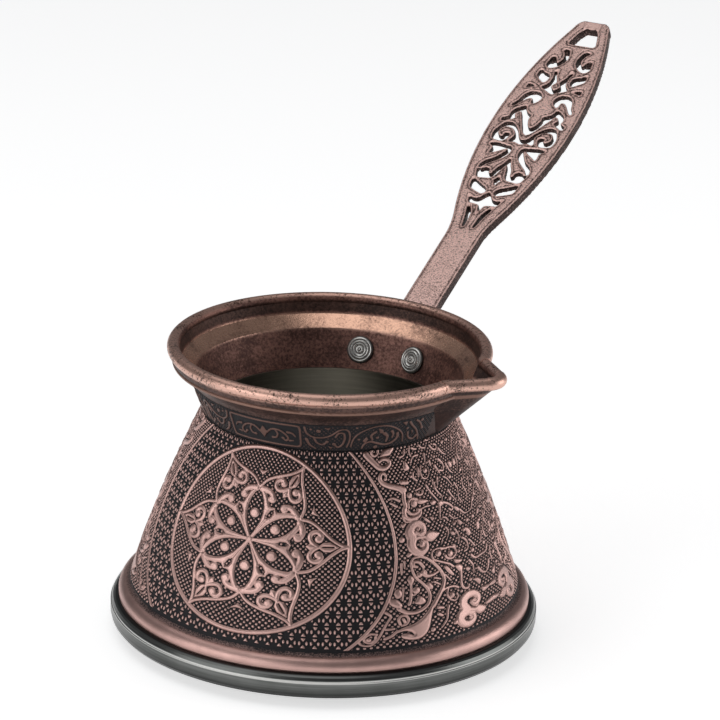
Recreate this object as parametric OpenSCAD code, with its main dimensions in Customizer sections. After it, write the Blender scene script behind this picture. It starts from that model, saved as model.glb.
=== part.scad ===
// Turkish coffee pot (cezve): embossed copper body on a steel base pan, steel liner, flared
// collar with a V spout, and a pierced cast handle held by two rivets.
// Origin: centre of the base on the resting plane. +Z up, spout towards +X, handle towards +Y.

/* [Base] */
// widest radius of the base pan
base_r = 57.5; // [45:0.5:75]
// height of the base pan, up to the copper flange
base_h = 9.3; // [6:0.1:14]
// sheet thickness of the base pan
base_t = 1; // [0.6:0.1:2]
// how far inside the widest radius the flat underside ends
foot_in = 8.5; // [5:0.5:14]

/* [Body] */
// radius of the cone where it leaves the flange
cone_r = 51.95; // [40:0.05:68]
// height of the rolled flange between the base pan and the cone
flange_h = 5.1; // [3.9:0.1:9]
// radius of the cone at the neck
neck_r = 33.3; // [26:0.1:45]
// height of the joint between cone and collar
neck_z = 62.25; // [50:0.25:80]
// outward bow of the cone half way up
cone_bow = 0.9; // [0:0.1:2.5]
// wall of the copper body, measured level
body_t = 1.1; // [0.8:0.1:2]
// wall of the steel liner, measured level
liner_t = 0.7; // [0.5:0.1:1.2]
// height of the liner floor's underside
floor_z = 7; // [5:0.1:10]

/* [Collar] */
// height of the centre of the rolled rim above the neck joint
rim_h = 16.75; // [14:0.25:21]
// radius of the circle the rolled rim follows
rim_r = 41.45; // [34:0.05:55]
// radius of the rolled bead
bead_r = 1.7; // [1.2:0.1:2.4]
// wall of the collar, measured level
collar_t = 1.4; // [1:0.1:2]
// slope of the neck band, radius gained per mm of height
band_slope = 0.389; // [0.2:0.001:0.6]
// height of the neck band, up to where the flare starts
band_h = 8.1; // [6.5:0.1:9.5]

/* [Spout] */
// how far outside the rim's circle the two lines of the spout would meet
spout_out = 10.35; // [8:0.05:14]
// half of the angle of the V, seen from above
spout_half = 43; // [32:0.5:55]
// slope of the keel under the spout
keel_a = 43.8; // [35:0.1:60]
// outside radius of the keel
keel_r = 6; // [3:0.1:8]
// radius of the bead round the tip of the spout
nose_r = 4.1; // [2:0.1:6]
// radius of the blend between rim and spout
root_r = 4; // [2.5:0.1:8]

/* [Handle] */
// slope of the handle
handle_a = 27.6; // [15:0.1:40]
// how far below the neck joint the handle's upper face would meet the axis
handle_drop = 11.99; // [9:0.01:14]
// distance from the axis to the tip, along the handle
tip_u = 179.4; // [150:0.2:210]
// length of the pierced grip
grip_l = 84.6; // [70:0.2:102]
// distance from the start of the grip to its widest place
wide_l = 38.8; // [32:0.2:46]
// greatest half width of the grip
wide_w = 12.65; // [9:0.05:18]
// radius of the long curved edges of the grip
edge_r = 132; // [100:1:200]
// half width of the plain stem
stem_w = 5.2; // [3.5:0.1:7]
// thickness of the handle
handle_t = 3; // [2:0.1:5]
// depth of the recess in the back of the pierced part
back_cut = 1.1; // [0.5:0.1:1.8]
// angle that the saddle foot covers, each side
foot_a = 21; // [18.5:0.5:30]

/* [Rivets] */
// angle of each rivet from the handle's centre line
rivet_a = 13.9; // [12:0.1:16.5]
// height of the rivets above the neck joint, on the inside wall
rivet_up = 5.05; // [3.9:0.05:6.2]
// diameter of the rivet head inside the collar
rivet_head = 7.4; // [6:0.1:8.5]
// diameter of the rivet shank
rivet_d = 4; // [3:0.1:5]
// height of the rivet head
rivet_h = 1.1; // [0.8:0.1:1.8]

/* [Hidden] */
$fn = 96;
gap = 0.05;                               // clearance between fixed pieces
cone_z = base_h + flange_h;
cone_h = neck_z - cone_z;
foot_r = base_r - foot_in;                // where the flat underside ends
band_a = atan(band_slope);
band_r = neck_r - 0.1;                    // outside of the collar at its lower edge
band_z = neck_z + gap;
flare_z = band_z + band_h;
rim_z = neck_z + rim_h;
flare_r = band_r + band_slope * band_h;
ledge_r = rim_r - 2.35;
foot_t = 3;                               // wall of the saddle foot, measured level
// spout: plan lines at rim height, blends and tip
spout_x = rim_r + spout_out;
line_d = spout_x * sin(spout_half);
blend_w = sqrt(pow(rim_r + root_r, 2) - pow(line_d + root_r, 2));
blend_l = spout_x * cos(spout_half) - blend_w;      // from the sharp point to the blend
blend_c = [spout_x - blend_l * cos(spout_half) + root_r * sin(spout_half),
           blend_l * sin(spout_half) + root_r * cos(spout_half)];
blend_a = atan2(blend_c[1], blend_c[0]);            // where the blend leaves the rim
nose_c = (line_d - nose_r) / sin(spout_half);
nose_l = nose_r / tan(spout_half);                  // from the sharp point to the tip's arc
wall_a = atan(sin(keel_a) / tan(spout_half));       // rise of each spout wall across the keel
spout_t = 1.4;
keel_x = spout_x - (keel_r - spout_t / 2) * (1 / cos(wall_a) - 1) / sin(keel_a)
         + spout_t / 2 / sin(keel_a);
// rivet axis: square to the neck band
rivet_z = neck_z + rivet_up;
rivet_r = band_r + band_slope * (rivet_z - band_z) - collar_t;
grip_t = collar_t * cos(band_a) + foot_t * cos(band_a);
seat = 0.25;                              // flat rivet head against the curved wall
handle_z = neck_z - handle_drop;
start_u = tip_u - grip_l;                 // the grip starts here
stretch = [grip_l / 84.6, wide_w / 12.65];          // against the grip as it is drawn below

// radius of the outside of the cone at height z
function cone(z) = let (f = (z - cone_z) / cone_h)
    cone_r + (neck_r - cone_r) * f + cone_bow * sin(180 * f);

// points of an arc, centre c, from angle a to angle b
function arc(c, r, a, b, n = 8) =
    [for (i = [0:n]) c + r * [cos(a + (b - a) * i / n), sin(a + (b - a) * i / n)]];

// half width of the handle at distance v from the start of the grip: stem blended into the
// grip, with a rounded tip
function lens(v) = sqrt(pow(edge_r, 2) - pow(v - wide_l, 2)) - edge_r + wide_w;
function blend(a, b, k) = let (h = max(k - abs(a - b), 0) / k) max(a, b) + h * h * k / 4;
function half_w(v, r = 3.4) = v < wide_l - 55 ? stem_w
    : v < wide_l ? blend(stem_w, lens(v), 1.6)
    : v <= grip_l - r ? lens(v)
    : lens(grip_l - r) - r + sqrt(max(r * r - pow(v - grip_l + r, 2), 0));

module base_pan() {
    color([0.62, 0.63, 0.60])
    rotate_extrude() polygon(concat(
        [[0, 0], [foot_r - 7, 0], [foot_r - 6.6, 0.4], [foot_r - 5.4, 0.4], [foot_r - 5, 0],
         [foot_r, 0]],
        [[foot_r + 3, 1.15], [base_r - 3, 2.1], [base_r - 0.9, 3], [base_r - 0.2, 3.9],
         [base_r, 4.8], [base_r, base_h - 2], [base_r - 0.25, base_h - 1.85],
         [base_r - 0.3, base_h - 1.4], [base_r - 0.7, base_h - 0.7],
         [base_r - 1.4, base_h - 0.2], [base_r - 2, base_h - gap]],
        [[base_r - 2 - base_t, base_h - gap], [base_r - 0.4 - base_t, base_h - 2.1],
         [base_r - base_t, 5], [base_r - 0.3 - base_t, 4.4],
         [base_r - 1.2 - base_t, 2.8 + base_t], [base_r - 3.6, 2.1 + base_t],
         [foot_r + 2.6, 1.3 + base_t], [foot_r - 0.4, base_t + 0.4], [0, base_t + 0.4]]));
}

module heat_disc() {
    color([0.72, 0.72, 0.72])
    translate([0, 0, base_t + 0.45]) cylinder(r = foot_r - 0.5, h = floor_z - base_t - 0.5);
}

module liner() {
    out = body_t + 0.1;
    steps = 16;
    color([0.30, 0.31, 0.27])
    rotate_extrude() polygon(concat(
        [[0, floor_z]],
        arc([cone_r - out - 3.5, floor_z + 3.5], 3.5, -90, 0),
        [for (i = [0:steps]) let (z = cone_z + cone_h * i / steps) [cone(z) - out, z]],
        [for (i = [steps:-1:0]) let (z = cone_z + cone_h * i / steps) [cone(z) - out - liner_t, z]],
        arc([cone_r - out - 3.5, floor_z + 3.5], 3.5 - liner_t, 0, -90),
        [[0, floor_z + liner_t]]));
}

module body_shell() {
    steps = 24;
    color([0.62, 0.42, 0.36])
    rotate_extrude() polygon(concat(
        [[base_r - 2 - body_t, base_h], [base_r - 2, base_h]],
        arc([base_r - 4.7, base_h + 1.1], 2.55, -10, 88),
        [[cone_r + 0.2, cone_z - 0.6]],
        [for (i = [0:steps]) let (z = cone_z + cone_h * i / steps) [cone(z), z]],
        [for (i = [steps:-1:0]) let (z = cone_z + cone_h * i / steps) [cone(z) - body_t, z]],
        [[cone_r + 0.2 - body_t, cone_z - 1.6], [base_r - 2.5 - body_t, base_h + 2.1]]));
}

// section of the collar's sheet, from the neck joint up to the rolled rim
module collar_section() {
    polygon(concat(
        [[band_r - collar_t, band_z], [band_r, band_z]],
        arc([flare_r + 5.5 * cos(band_a), flare_z - 5.5 * sin(band_a)], 5.5, 180 - band_a, 128),
        arc([ledge_r + 0.1, rim_z - 1.9], 2.7, -42, 0),
        [[rim_r + 0.4, rim_z], [rim_r - bead_r + 0.25, rim_z]],
        [[ledge_r, rim_z - 3.6],
         [band_r - collar_t + band_slope * (rim_z - 6.6 - band_z), rim_z - 6.6]]));
}

// space inside the middle of the collar's sheet, used to trim the spout
module collar_space() {
    r = band_r - collar_t / 2;
    rotate_extrude() polygon([[0, band_z - 5], [r, band_z - 5], [r, band_z],
        [r + band_slope * (rim_z - 7.2 - band_z), rim_z - 7.2], [ledge_r + 0.7, rim_z - 4],
        [rim_r - bead_r + 0.7, rim_z], [rim_r, rim_z + 6], [0, rim_z + 6]]);
}

// long V trough along the keel line; inset moves its faces inwards
module trough(inset) {
    r = keel_r - inset;
    rise = 24;
    side = [r * sin(wall_a) + rise * cos(wall_a), keel_r - r * cos(wall_a) + rise * sin(wall_a)];
    translate([keel_x, 0, rim_z]) rotate([0, -keel_a, 0]) rotate([90, 0, 90])
    translate([0, 0, -40]) linear_extrude(60) polygon(concat(
        arc([0, keel_r], r, -90 - wall_a, -90 + wall_a, 12),
        [side, [0, keel_r + 36], [-side[0], side[1]]]));
}

// rolled bead: round the rim, through the two blends, along the V and round its tip;
// the blends and the tip are a touch fuller, and lap over the stretches they join
module bead() {
    module curve(r, a, fuller, lap) {
        rotate([0, 0, -lap]) rotate_extrude(angle = a + 2 * lap)
            translate([r, 0]) circle(bead_r + fuller, $fn = 32);
    }
    translate([0, 0, rim_z]) {
        rotate([0, 0, blend_a]) curve(rim_r, 360 - 2 * blend_a, 0, 0);
        for (m = [0, 1]) mirror([0, m, 0]) {
            translate(blend_c) rotate([0, 0, 180 + blend_a])
                curve(root_r, 90 - spout_half - blend_a, 0.1, 5);
            translate([spout_x - nose_l * cos(spout_half), nose_l * sin(spout_half), 0])
                rotate([0, 0, 180 - spout_half]) rotate([0, 90, 0])
                cylinder(r = bead_r - 0.05, h = blend_l - nose_l);
        }
        translate([nose_c, 0, 0]) rotate([0, 0, spout_half - 90])
            curve(nose_r, 180 - 2 * spout_half, 0.05, 5);
    }
}

module rivet_place(side) {
    rotate([0, 0, -side * rivet_a]) translate([0, rivet_r, rivet_z])
    rotate([-90 - band_a, 0, 0]) children();
}

module collar() {
    color([0.50, 0.33, 0.29])
    difference() {
        union() {
            rotate_extrude() collar_section();
            rotate_extrude() translate([ledge_r + 2.15, rim_z - 3.7]) circle(0.5, $fn = 24);
            difference() {
                intersection() {
                    trough(0);
                    translate([rim_r - 21.45, 21.45 - rim_r, band_z])
                        cube([spout_out + 34.65, 2 * rim_r - 42.9, rim_z - band_z]);
                }
                collar_space();
            }
        }
        trough(spout_t);
        for (s = [-1, 1]) rivet_place(s)
            translate([0, 0, -3]) cylinder(d = rivet_d + 2 * gap, h = 8);
    }
    color([0.66, 0.47, 0.40]) bead();
}

// closed outline with a smooth point put between each two of its points
function smooth(p) = let (n = len(p)) [for (i = [0:n - 1]) each [p[i],
    (9 * (p[i] + p[(i + 1) % n]) - p[(i + n - 1) % n] - p[(i + 2) % n]) / 16]];

// whole outline of an opening that crosses the centre line, from its half with y >= 0
function whole(p) = concat(p, [for (i = [len(p) - 2:-1:1]) [p[i][0], -p[i][1]]]);

// openings of the pierced part; x runs along the handle from the start of the grip, y across it
middle_openings = [
    // fork at the end of the stem
    [[0.3, 0], [3.9, 0.8], [4.4, 4.2], [5.6, 4.7], [7.2, 5.3], [6.4, 4.0], [6.3, 2.9], [7.0, 1.7],
     [9.4, 0]],
    // round the curl and the hook, up to the cross bar
    [[21.4, 0], [19.0, 0.9], [16.6, 1.6], [15.3, 2.4], [14.9, 3.6], [14.8, 4.8], [14.7, 5.8],
     [15.1, 6.8], [16.4, 7.3], [18.5, 7.9], [20.4, 7.6], [22.0, 6.5], [23.3, 4.8], [24.8, 3.8],
     [27.1, 2.5], [27.7, 3.0], [26.6, 4.5], [25.4, 6.3], [24.7, 7.4], [27.6, 7.3], [28.2, 8.4],
     [29.2, 8.4], [29.3, 5.8], [29.0, 3.6], [28.7, 2.1], [28.0, 1.5], [26.4, 1.4], [24.8, 1.9],
     [23.3, 3.0], [21.7, 4.6], [20.1, 6.3], [18.5, 7.2], [18.0, 6.8], [18.8, 5.8], [18.9, 4.6],
     [18.3, 4.1], [17.3, 4.0], [16.6, 3.4], [17.2, 2.8], [18.5, 2.5], [19.9, 2.0], [21.3, 1.1],
     [24.1, 0]],
    // round the eye curl, between the cross bar and the V band
    [[30.2, 0], [30.9, 2.1], [30.4, 3.5], [31.4, 3.8], [33.1, 3.1], [34.5, 3.3], [35.8, 4.4],
     [36.5, 6.1], [36.3, 7.3], [35.3, 8.3], [33.8, 8.5], [32.8, 8.0], [32.2, 7.0], [32.6, 6.2],
     [33.5, 6.4], [34.0, 5.6], [33.7, 4.8], [32.6, 4.7], [31.4, 5.1], [30.5, 5.8], [30.4, 7.2],
     [30.9, 9.1], [32.1, 9.6], [34.2, 9.7], [35.7, 9.2], [37.0, 8.6], [38.1, 7.8], [38.4, 6.7],
     [38.1, 5.4], [36.7, 3.9], [34.9, 2.6], [33.1, 1.7], [32.2, 0.8], [31.9, 0]],
    // between the V band and the palmette, round the end of the band
    [[34.2, 0], [35.6, 1.5], [38.4, 2.9], [41.6, 4.5], [43.4, 5.4], [42.7, 6.6], [41.6, 6.9],
     [40.5, 6.1], [39.2, 7.8], [38.3, 9.6], [39.8, 9.8], [40.3, 8.8], [41.0, 8.0], [42.3, 8.3],
     [44.0, 7.6], [45.1, 6.4], [46.0, 4.9], [44.8, 4.6], [43.6, 3.8], [42.9, 2.7], [42.4, 1.9],
     [41.2, 2.1], [39.5, 1.7], [37.8, 0.9], [37.2, 0]],
    // round the small diamond, between the C scrolls and the tulip bud
    [[52.3, 0], [53.1, 1.6], [54.0, 3.2], [54.8, 4.2], [55.4, 3.5], [56.6, 2.6], [58.5, 2.3],
     [60.2, 2.5], [61.4, 2.9], [62.6, 2.2], [61.2, 2.0], [59.6, 1.6], [58.3, 0.9], [57.6, 0.6],
     [57.0, 0.7], [55.7, 1.5], [54.5, 0.8], [53.9, 0]]];
side_openings = [
    // slit beside the fork
    [[-5, 1.3], [0, 1.7], [2.5, 2.8], [4.0, 3.9], [2, 3.6], [-1, 2.7], [-5, 1.9]],
    // inside the first C scroll
    [[8.5, 2.1], [9.7, 1.4], [11.1, 2.1], [12.3, 4.2], [13.7, 6.4], [14.3, 7.1], [12.7, 7.1],
     [10.6, 6.7], [9.7, 5.4], [9.0, 3.9]],
    // inside the large C scroll
    [[46.8, 4.3], [47.9, 2.9], [49.4, 2.1], [50.8, 2.3], [52.0, 3.3], [52.4, 4.8], [52.0, 6.3],
     [50.8, 7.3], [49.4, 7.9], [47.5, 8.4], [46.3, 9.3], [45.1, 9.6], [45.0, 9.2], [45.9, 8.3],
     [47.4, 7.3], [48.6, 6.4], [49.4, 5.4], [49.2, 4.5], [47.9, 4.3]],
    // small triangle between the scrolls and the frame
    [[54.4, 5.9], [55.0, 7.4], [55.2, 8.4], [54.3, 8.6], [53.3, 8.7], [53.9, 7.5]],
    // inside the ring
    [[56.5, 4.5], [57.5, 3.8], [59.2, 3.6], [60.3, 4.5], [60.8, 6.1], [61.8, 7.3], [59.9, 7.6],
     [58.9, 7.4], [58.0, 6.5], [57.1, 5.4]],
    // round the comma beside the tulip bud
    [[63.0, 5.8], [63.2, 4.4], [64.3, 2.9], [65.9, 1.9], [67.7, 1.5], [69.4, 1.8], [71.3, 2.5],
     [71.5, 3.6], [71.1, 4.4], [70.2, 3.6], [68.7, 2.9], [67.0, 2.9], [65.6, 3.6], [65.4, 4.3],
     [66.6, 4.6], [67.5, 5.3], [67.9, 6.2], [66.3, 6.6], [64.2, 6.8]]];

// an opening as it is drawn, stretched to the size of the grip
function fitted(p) = [for (q = p) [q[0] * stretch[0], q[1] * stretch[1]]];

module handle_outline() {
    vs = concat([neck_r - start_u], [for (v = [-16.8:3:-10.8]) v],
        [for (v = [-8.8:2:grip_l - 4.2]) v],
        [for (a = [90:-15:0]) grip_l - 3.4 + 3.4 * cos(a)]);
    polygon(concat([for (v = vs) [v, half_w(v)]],
        [for (i = [len(vs) - 1:-1:0]) [vs[i], -half_w(vs[i])]]));
}

// plan of the handle: outline, pierced pattern, and hang hole at the tip
module handle_plan() {
    difference() {
        handle_outline();
        for (p = middle_openings) polygon(fitted(smooth(whole(p))));
        for (p = side_openings, m = [-1, 1])
            polygon(fitted(smooth([for (q = p) [q[0], m * q[1]]])));
        polygon(fitted([[12.1, 0], [13.8, 0.5], [14.5, 1.2], [15.1, 0.5], [16.4, 0],
            [15.1, -0.5], [14.5, -1.2], [13.8, -0.5]]));
        polygon(fitted(whole([[73.9, 0], [73.9, 3.8], [74.8, 4.2], [79.2, 2.9], [81.4, 1.8],
            [81.4, 0]])));
    }
}

// the recess leaves a full-depth frame round the pierced part
module handle_recess() {
    vs = [for (v = [4.2:3:grip_l - 15]) v];
    polygon(concat([for (v = vs) [v, half_w(v) - 2.1]],
        [for (i = [len(vs) - 1:-1:0]) [vs[i], 2.1 - half_w(vs[i])]]));
}

module handle() {
    color([0.70, 0.52, 0.46])
    difference() {
        union() {
            translate([0, 0, handle_z]) rotate([handle_a, 0, 0]) translate([0, start_u, -handle_t])
                rotate([0, 0, 90]) mirror([0, 1, 0]) difference() {
                    linear_extrude(handle_t) handle_plan();
                    translate([0, 0, -1]) linear_extrude(back_cut + 1) handle_recess();
                }
            rotate([0, 0, 90 - foot_a]) rotate_extrude(angle = 2 * foot_a) polygon([
                [band_r + band_slope * 0.7 + gap, band_z + 0.7],
                [band_r + band_slope * 0.7 + foot_t, band_z + 0.9],
                [flare_r - band_slope * 0.5 + foot_t, flare_z - 0.8],
                [flare_r - band_slope * 0.5 + gap, flare_z - 0.5]]);
        }
        rotate_extrude() polygon([[20, band_z - 10], [band_r - 4, band_z - 10],
            [band_r + gap, band_z], [flare_r + gap, flare_z], [flare_r + gap, flare_z + 8],
            [20, flare_z + 8]]);
        for (s = [-1, 1]) rivet_place(s)
            translate([0, 0, -3]) cylinder(d = rivet_d + 2 * gap, h = 14);
    }
}

// turned head with rings and a centre pip inside the collar, shank, and upset tail outside
module rivet() {
    r = rivet_head / 2;
    rotate_extrude() polygon([[0, -seat - rivet_h - 0.25], [0.7, -seat - rivet_h - 0.1],
        [0.8, -seat - rivet_h + 0.15], [r - 2.2, -seat - rivet_h + 0.15],
        [r - 2, -seat - rivet_h], [r - 1.4, -seat - rivet_h], [r - 1.2, -seat - rivet_h + 0.2],
        [r - 0.6, -seat - rivet_h + 0.2], [r - 0.1, -seat - rivet_h + 0.45], [r, -seat - 0.35],
        [r - 0.1, -seat], [rivet_d / 2, -seat], [rivet_d / 2, grip_t + 0.1],
        [rivet_d / 2 + 1.1, grip_t + 0.1], [rivet_d / 2 + 1, grip_t + 0.7],
        [rivet_d / 2 + 0.2, grip_t + 1.3], [0, grip_t + 1.5]]);
}

module rivet_left() {
    color([0.60, 0.60, 0.60]) rivet_place(-1) rivet();
}

module rivet_right() {
    color([0.60, 0.60, 0.60]) rivet_place(1) rivet();
}

base_pan();
heat_disc();
liner();
body_shell();
collar();
handle();
rivet_left();
rivet_right();
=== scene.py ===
# %% [markdown]
# # A copper cezve
# A cezve is the long-handled pot for Turkish coffee. This one has a spun steel base pan, a copper
# body stamped with ornament, a flared collar with a pouring lip, and a pierced cast handle held by
# two rivets. The solid parts are loaded ready made, in metres. This lesson gives them their
# finishes and adds what solids can't hold: the stamped relief and the cast surface of the handle.

import bmesh
import bpy
import numpy as np
from mathutils import Matrix


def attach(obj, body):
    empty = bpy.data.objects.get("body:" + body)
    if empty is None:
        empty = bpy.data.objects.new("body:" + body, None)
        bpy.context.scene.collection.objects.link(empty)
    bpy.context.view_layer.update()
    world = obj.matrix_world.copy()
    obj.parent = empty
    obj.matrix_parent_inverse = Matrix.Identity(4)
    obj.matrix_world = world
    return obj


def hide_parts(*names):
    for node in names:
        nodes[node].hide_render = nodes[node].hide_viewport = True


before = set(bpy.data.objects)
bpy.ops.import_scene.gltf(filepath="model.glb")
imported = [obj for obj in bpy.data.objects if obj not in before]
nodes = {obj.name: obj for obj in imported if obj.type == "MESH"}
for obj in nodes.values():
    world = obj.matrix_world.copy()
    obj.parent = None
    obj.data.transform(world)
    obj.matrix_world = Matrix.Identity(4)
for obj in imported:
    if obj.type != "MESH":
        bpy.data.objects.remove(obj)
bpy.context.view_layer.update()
MM = 0.001
print("solid parts:", sorted(nodes))

# %% [markdown]
# ## Shader maths as Python
# A finish is a network of nodes. Wiring it by hand hides the idea, so a small class wraps one
# output socket and overloads the arithmetic: `1 - mask` or `a * b` adds the Math nodes. One method,
# `node`, adds any other node: its settings go in first, then the values or links of its sockets.

# %% Wrap sockets in arithmetic


class Sock:
    """One output socket; sums, products and comparisons of it add Math nodes."""

    def __init__(self, finish, socket):
        self.finish, self.socket = finish, socket

    def math(self, operation, *others):
        return self.finish.node("ShaderNodeMath", {"operation": operation}, self, *others)

    def __add__(self, other):
        return self.math("ADD", other)

    def __mul__(self, other):
        return self.math("MULTIPLY", other)

    def __sub__(self, other):
        return self.math("SUBTRACT", other)

    def __rsub__(self, other):
        return self.finish.node("ShaderNodeMath", {"operation": "SUBTRACT"}, other, self)

    def __truediv__(self, other):
        return self.math("DIVIDE", other)

    __radd__, __rmul__ = __add__, __mul__

    def step(self, low, high):
        """Rises smoothly from 0 where the value is low to 1 where it is high."""
        settings = {"interpolation_type": "SMOOTHSTEP"}
        return self.finish.node("ShaderNodeMapRange", settings, self, low, high)


class Finish:
    """A material whose nodes are added by expressions."""

    def __init__(self, name):
        self.material = bpy.data.materials.new(name)
        self.material.use_nodes = True
        self.tree = self.material.node_tree
        self.shader = self.tree.nodes["Principled BSDF"]

    def fill(self, socket, value):
        """Links a socket to another, or sets its plain value; None leaves it as it is."""
        if isinstance(value, Sock):
            self.tree.links.new(value.socket, socket)
        elif value is not None:
            socket.default_value = value

    def node(self, kind, settings=None, *values, out=0, **named):
        """Adds a node, with its settings and its inputs in order or by name."""
        made = self.tree.nodes.new(kind)
        for key, value in (settings or {}).items():
            setattr(made, key, value)
        for socket, value in zip(made.inputs, values):
            self.fill(socket, value)
        for key, value in named.items():
            self.fill(made.inputs[key.replace("_", " ")], value)
        return Sock(self, made.outputs[out])

    def mix(self, factor, a, b, blend="MIX"):
        """Colour a where the factor is 0 and colour b where it is 1."""
        made = self.tree.nodes.new("ShaderNodeMix")
        made.data_type, made.blend_type = "RGBA", blend
        for index, value in ((0, factor), (6, a), (7, b)):
            self.fill(made.inputs[index], value)
        return Sock(self, made.outputs[2])

    def place(self):
        """The point's own coordinates on its piece, in metres."""
        return self.node("ShaderNodeTexCoord", out=3)

    def xyz(self):
        """The point's own x, y and z in metres, and its distance from the pot's axis."""
        split = self.node("ShaderNodeSeparateXYZ", None, self.place())
        x, y, z = (Sock(self, socket) for socket in split.socket.node.outputs)
        return x, y, z, (x * x + y * y).math("SQRT")

    def noise(self, scale, detail=4.0, rough=0.6, stretch=None):
        vector = self.place()
        if stretch:
            vector = self.node("ShaderNodeMapping", None, Vector=vector, Scale=stretch)
        return self.node("ShaderNodeTexNoise", None, Vector=vector, Scale=scale, Detail=detail,
                         Roughness=rough)

    def kept_number(self, name):
        """A number that the mesh keeps at each of its points."""
        return self.node("ShaderNodeAttribute", {"attribute_name": name}, out=2)

    def bump(self, height, distance, strength=1.0):
        return self.node("ShaderNodeBump", None, Strength=strength, Distance=distance,
                         Height=height)

    def finish(self, **sockets):
        for key, value in sockets.items():
            self.fill(self.shader.inputs[key.replace("_", " ")], value)
        return self.material


def rgb(red, green, blue):
    return (red, green, blue, 1.0)


print("shader helpers:", sorted(n for n in vars(Finish) if not n.startswith("_")))

# %% [markdown]
# ## Camera, light and floor
# Polished and antiqued metal shows its surroundings, so most of its look is the light. The pot
# stands on a white table between two tall soft boxes, with a large soft top light. The camera
# looks down by about 21 degrees, from the side of the spout, with a long lens.

# %% Aim the camera
# distance, looking down by TILT from ASIDE of the front, then small turns of the camera itself
D, TILT, ASIDE = 1.1, np.radians(21.299), np.radians(28.25)
YAW, PITCH, ROLL = np.radians(0.4228), np.radians(2.0044), np.radians(1.629)


def turned(v):
    """A vector of the camera's own plan, turned about +Z by the angle the camera stands aside."""
    c, s = np.cos(ASIDE), np.sin(ASIDE)
    return np.array([c * v[0] - s * v[1], s * v[0] + c * v[1], v[2]])


eye = turned(np.array([0, -D * np.cos(TILT), 0.035 + D * np.sin(TILT)]))
level = np.array([0, np.cos(TILT), -np.sin(TILT)])
above = np.array([0, np.sin(TILT), np.cos(TILT)])
look = turned(level * np.cos(PITCH) * np.cos(YAW) + above * np.sin(PITCH)
              + np.array([1, 0, 0]) * np.cos(PITCH) * np.sin(YAW))
look /= np.linalg.norm(look)
right = np.cross(look, [0, 0, 1])
right /= np.linalg.norm(right)
up = np.cross(right, look)
right, up = (right * np.cos(ROLL) + up * np.sin(ROLL), up * np.cos(ROLL) - right * np.sin(ROLL))
camera = bpy.data.objects.new("camera", bpy.data.cameras.new("camera"))
bpy.context.collection.objects.link(camera)
pose = np.eye(4)
pose[:3, 0], pose[:3, 1], pose[:3, 2], pose[:3, 3] = right, up, -look, eye
camera.matrix_world = Matrix(pose.tolist())
SENSOR = 36
camera.data.lens, camera.data.sensor_width = 4099.5 * SENSOR / 720, SENSOR
camera.data.clip_end = 20
bpy.context.scene.camera = camera
print("camera at", np.round(eye, 3))

# %% [markdown]
# ## Light
# Three soft boxes stand round the pot, as in a small studio. The two at the sides draw the bright
# edges of the rim and the body, and the one above fills the inside. A faint sky softens the rest.

# %% Light the set


def soft_box(name, place, target, size, power):
    """A rectangular light at a place, facing a target."""
    light = bpy.data.lights.new(name, "AREA")
    light.shape, light.size, light.size_y, light.energy = "RECTANGLE", size[0], size[1], power
    box = bpy.data.objects.new(name, light)
    bpy.context.collection.objects.link(box)
    z = np.array(place) - np.array(target)
    z /= np.linalg.norm(z)
    x = np.cross([0, 0, 1], z)
    x /= np.linalg.norm(x)
    m = np.eye(4)
    m[:3, 0], m[:3, 1], m[:3, 2], m[:3, 3] = x, np.cross(z, x), z, place
    box.matrix_world = Matrix(m.tolist())


middle = (0, 0, 0.05)
soft_box("left_box", turned(np.array([-0.80, -0.58, 0.26])), middle, (0.95, 0.60), 3.6)
soft_box("right_box", turned(np.array([0.95, 0.02, 0.22])), middle, (0.75, 0.55), 3.1)
soft_box("top_box", turned(np.array([-0.25, 0.05, 1.05])), middle, (1.1, 1.0), 3.4)

world = bpy.data.worlds.new("studio")
world.use_nodes = True
world.node_tree.nodes["Background"].inputs["Color"].default_value = (0.9, 0.92, 0.95, 1)
world.node_tree.nodes["Background"].inputs["Strength"].default_value = 0.16
bpy.context.scene.world = world
bpy.context.scene.view_settings.view_transform = "Standard"
print("lights:", [light.name for light in bpy.data.lights])

# %% [markdown]
# ## Surfaces from a grid
# Every new piece is a grid of points worked out with numpy, so one helper turns such a grid into a
# mesh. Its first use is the plain white table, which is part of the stage and not of the pot.

# %% Lay the floor


def surface(name, points, attribute=None):
    """A mesh from a grid of points, rows by columns, in metres.
    Each face joins a point, the next in its row, and the two below them in the next row."""
    rows, cols = points.shape[:2]
    index = np.arange(rows * cols).reshape(rows, cols)
    quads = np.stack([index[:-1, :-1], index[:-1, 1:], index[1:, 1:], index[1:, :-1]], -1)
    mesh = bpy.data.meshes.new(name)
    mesh.vertices.add(rows * cols)
    mesh.vertices.foreach_set("co", points.reshape(-1).astype(np.float32))
    count = quads.reshape(-1, 4).shape[0]
    mesh.loops.add(4 * count)
    mesh.polygons.add(count)
    mesh.loops.foreach_set("vertex_index", quads.reshape(-1).astype(np.int32))
    mesh.polygons.foreach_set("loop_start", np.arange(0, 4 * count, 4, dtype=np.int32))
    mesh.update(calc_edges=True)
    mesh.polygons.foreach_set("use_smooth", np.ones(count, dtype=bool))
    for key, values in (attribute or {}).items():
        layer = mesh.attributes.new(key, "FLOAT", "POINT")
        layer.data.foreach_set("value", values.reshape(-1).astype(np.float32))
    made = bpy.data.objects.new(name, mesh)
    bpy.context.collection.objects.link(made)
    return made


side = np.array([-1.5, 1.5])
floor = surface("floor", np.stack(np.meshgrid(side, side) + [np.zeros((2, 2))], -1))
paper = Finish("white_table")
floor.data.materials.append(paper.finish(
    Base_Color=rgb(0.9, 0.9, 0.9), Roughness=0.6, Specular_IOR_Level=0.2,
    Emission_Color=rgb(1, 1, 1), Emission_Strength=0.62))
print("floor:", tuple(floor.dimensions))

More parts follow.
